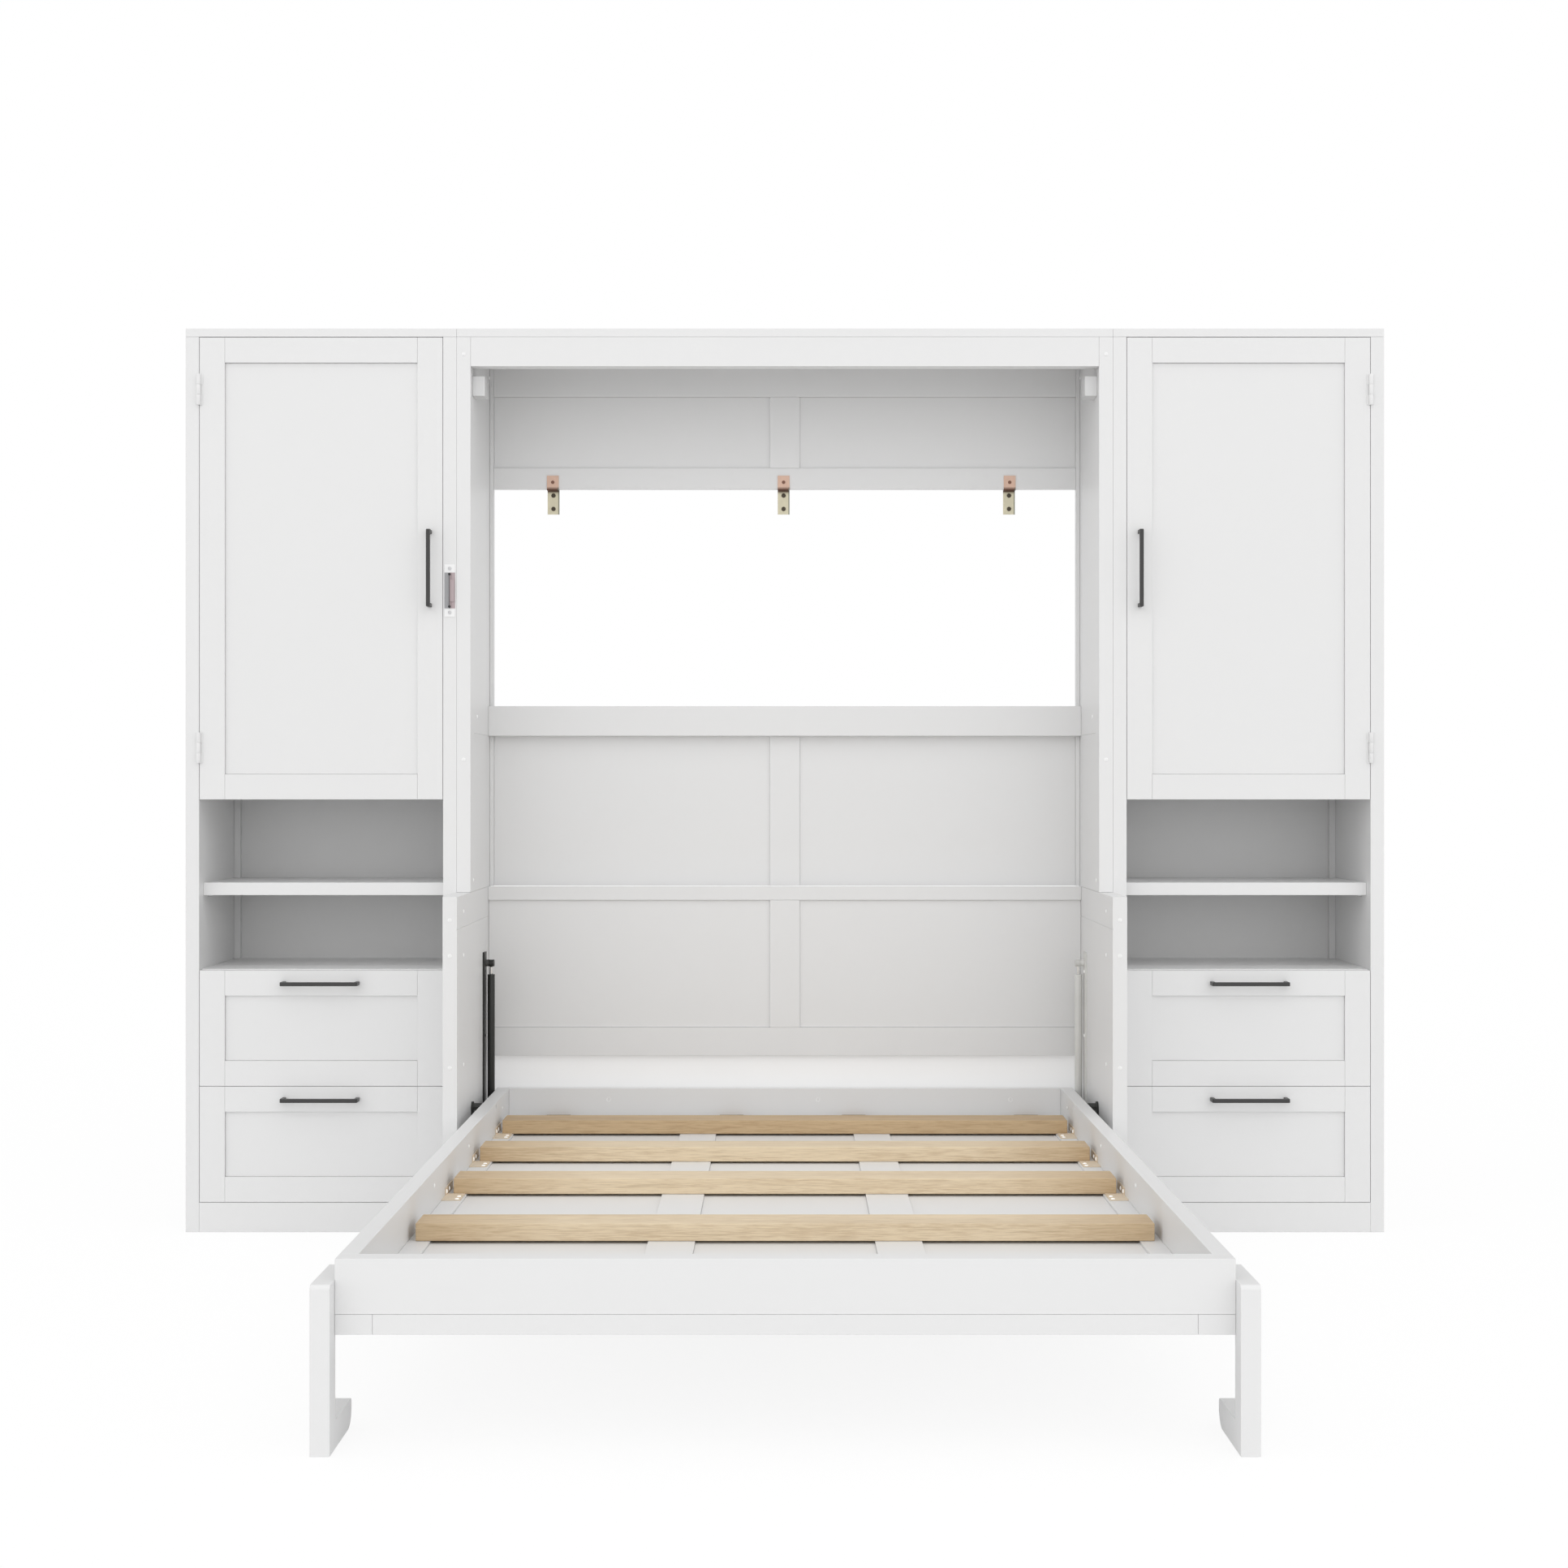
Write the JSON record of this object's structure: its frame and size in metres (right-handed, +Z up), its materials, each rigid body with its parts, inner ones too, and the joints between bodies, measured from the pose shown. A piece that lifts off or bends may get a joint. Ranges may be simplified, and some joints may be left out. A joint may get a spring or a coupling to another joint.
{
  "type": "wall bed with fold down desk",
  "caption": "Fold-down wall bed with slatted base and C-shaped legs between two storage towers with doors, niches and drawers, with a fold-down desk on the bed's face.",
  "frame": {"origin": "middle of the part's box, on the floor", "axes": "+X to the viewer's right along the cabinets, +Y from the bed's foot to the wall, +Z up"},
  "size_m": [2.8578, 2.097, 2.155],
  "materials": {
    "white_lacquer": "satin white lacquer on board",
    "oak": "pale oak, clear satin",
    "drawer_board": "off-white faced board",
    "charcoal_metal": "charcoal powder coat",
    "white_metal": "white paint",
    "steel": "zinc-plated",
    "chrome_rod": "polished",
    "black_steel": "black paint",
    "pale_steel": "pale grey paint",
    "brass_plate": "yellow passivated",
    "brown_wood": "raw brown wood"
  },
  "bodies": {
    "cabinet": {"top_boards": "white_lacquer", "tower_plinths": "white_lacquer", "tower_backs": "white_lacquer", "loose_shelves": "white_lacquer", "left_outer_side": "white_lacquer", "left_inner_side": "white_lacquer", "right_inner_side": "white_lacquer", "right_outer_side": "white_lacquer", "left_fixed_shelves": "white_lacquer", "right_fixed_shelves": "white_lacquer", "hinge_frame_leaves": "white_metal", "drawer_runners": "steel", "header": "white_lacquer", "left_upper_side": "white_lacquer", "right_upper_side": "white_lacquer", "left_lower_side": "white_lacquer", "right_lower_side": "white_lacquer", "upper_back": "white_lacquer", "lower_back": "white_lacquer", "rear_stretcher": "white_lacquer", "stop_blocks": "white_lacquer", "wall_brackets": "brass_plate", "pivot_plates": "white_metal", "left_strut_plate": "black_steel", "right_strut_plate": "pale_steel", "latch_plate": "steel"},
    "bed": {"bed_frame": "white_lacquer", "bed_face": "white_lacquer", "bed_slats": "oak", "bed_legs": "white_lacquer", "slat_brackets": "brass_plate", "head_blocks": "brown_wood", "strut_studs": "black_steel", "desk_hinges": "steel"},
    "desk": {"desk_top": "oak"},
    "left_arm": {"left_desk_arm": "white_lacquer"},
    "right_arm": {"right_desk_arm": "white_lacquer"},
    "left_wardrobe_door": {"left_door": "white_lacquer", "left_door_handle": "charcoal_metal", "left_door_leaves": "white_metal"},
    "right_wardrobe_door": {"right_door": "white_lacquer", "right_door_handle": "charcoal_metal", "right_door_leaves": "white_metal"},
    "left_rod": {"left_strut_rod": "chrome_rod"},
    "right_rod": {"right_strut_rod": "chrome_rod"},
    "left_tube": {"left_strut_cylinder": "black_steel"},
    "right_tube": {"right_strut_cylinder": "pale_steel"},
    "latch": {"latch_leaf": "steel"},
    "left_upper_drawer": {"left_upper_drawer_box": "drawer_board", "left_upper_drawer_front": "white_lacquer", "left_upper_drawer_handle": "charcoal_metal"},
    "left_lower_drawer": {"left_lower_drawer_box": "drawer_board", "left_lower_drawer_front": "white_lacquer", "left_lower_drawer_handle": "charcoal_metal"},
    "right_upper_drawer": {"right_upper_drawer_box": "drawer_board", "right_upper_drawer_front": "white_lacquer", "right_upper_drawer_handle": "charcoal_metal"},
    "right_lower_drawer": {"right_lower_drawer_box": "drawer_board", "right_lower_drawer_front": "white_lacquer", "right_lower_drawer_handle": "charcoal_metal"}
  },
  "joints": [
    {"name": "bed_fold", "type": "hinge", "parent": "cabinet", "child": "bed", "pos_m": [0, 0.7125, 0.296], "axis": [-1, 0, 0], "range_deg": [0, 90]},
    {"name": "left_strut_swing", "type": "hinge", "parent": "cabinet", "child": "left_rod", "pos_m": [-0.73325, 0.9285, 0.623], "axis": [-1, 0, 0], "range_deg": [0, 26.5]},
    {"name": "left_strut_slide", "type": "slide", "parent": "left_rod", "child": "left_tube", "axis": [0, 0, -1], "range_m": [0, 0.235]},
    {"name": "left_door_swing", "type": "hinge", "parent": "cabinet", "child": "left_wardrobe_door", "pos_m": [-1.3969, 0.6875, 1.582], "axis": [0, 0, -1], "range_deg": [0, 110]},
    {"name": "left_upper_drawer_slide", "type": "slide", "parent": "cabinet", "child": "left_upper_drawer", "axis": [0, -1, 0], "range_m": [0, 0.25]},
    {"name": "left_lower_drawer_slide", "type": "slide", "parent": "cabinet", "child": "left_lower_drawer", "axis": [0, -1, 0], "range_m": [0, 0.25]},
    {"name": "right_strut_swing", "type": "hinge", "parent": "cabinet", "child": "right_rod", "pos_m": [0.73325, 0.9285, 0.623], "axis": [-1, 0, 0], "range_deg": [0, 26.5]},
    {"name": "right_strut_slide", "type": "slide", "parent": "right_rod", "child": "right_tube", "axis": [0, 0, -1], "range_m": [0, 0.235]},
    {"name": "right_door_swing", "type": "hinge", "parent": "cabinet", "child": "right_wardrobe_door", "pos_m": [1.3969, 0.6875, 1.582], "axis": [0, 0, 1], "range_deg": [0, 110]},
    {"name": "right_upper_drawer_slide", "type": "slide", "parent": "cabinet", "child": "right_upper_drawer", "axis": [0, -1, 0], "range_m": [0, 0.25]},
    {"name": "right_lower_drawer_slide", "type": "slide", "parent": "cabinet", "child": "right_lower_drawer", "axis": [0, -1, 0], "range_m": [0, 0.25]},
    {"name": "latch_turn", "type": "hinge", "parent": "cabinet", "child": "latch", "pos_m": [-0.7989, 0.6883, 1.53], "axis": [0, 0, -1], "range_deg": [0, 170]},
    {"name": "desk_fold", "type": "hinge", "parent": "bed", "child": "desk", "pos_m": [0, 0.2585, 0.162], "axis": [1, 0, 0], "range_deg": [0, 90]},
    {"name": "left_arm_swing", "type": "hinge", "parent": "bed", "child": "left_arm", "pos_m": [-0.4, 0.3585, 0.162], "axis": [0, 1, 0], "range_deg": [0, 90]},
    {"name": "right_arm_swing", "type": "hinge", "parent": "bed", "child": "right_arm", "pos_m": [0.4, 0.3585, 0.162], "axis": [0, -1, 0], "range_deg": [0, 90]}
  ],
  "couplings": [
    {"joint": "left_strut_swing", "follows": "bed_fold", "ratio": 0.2866},
    {"joint": "left_strut_slide", "follows": "bed_fold", "m_per_rad": 0.14642},
    {"joint": "right_strut_swing", "follows": "bed_fold", "ratio": 0.2866},
    {"joint": "right_strut_slide", "follows": "bed_fold", "m_per_rad": 0.14642}
  ]
}
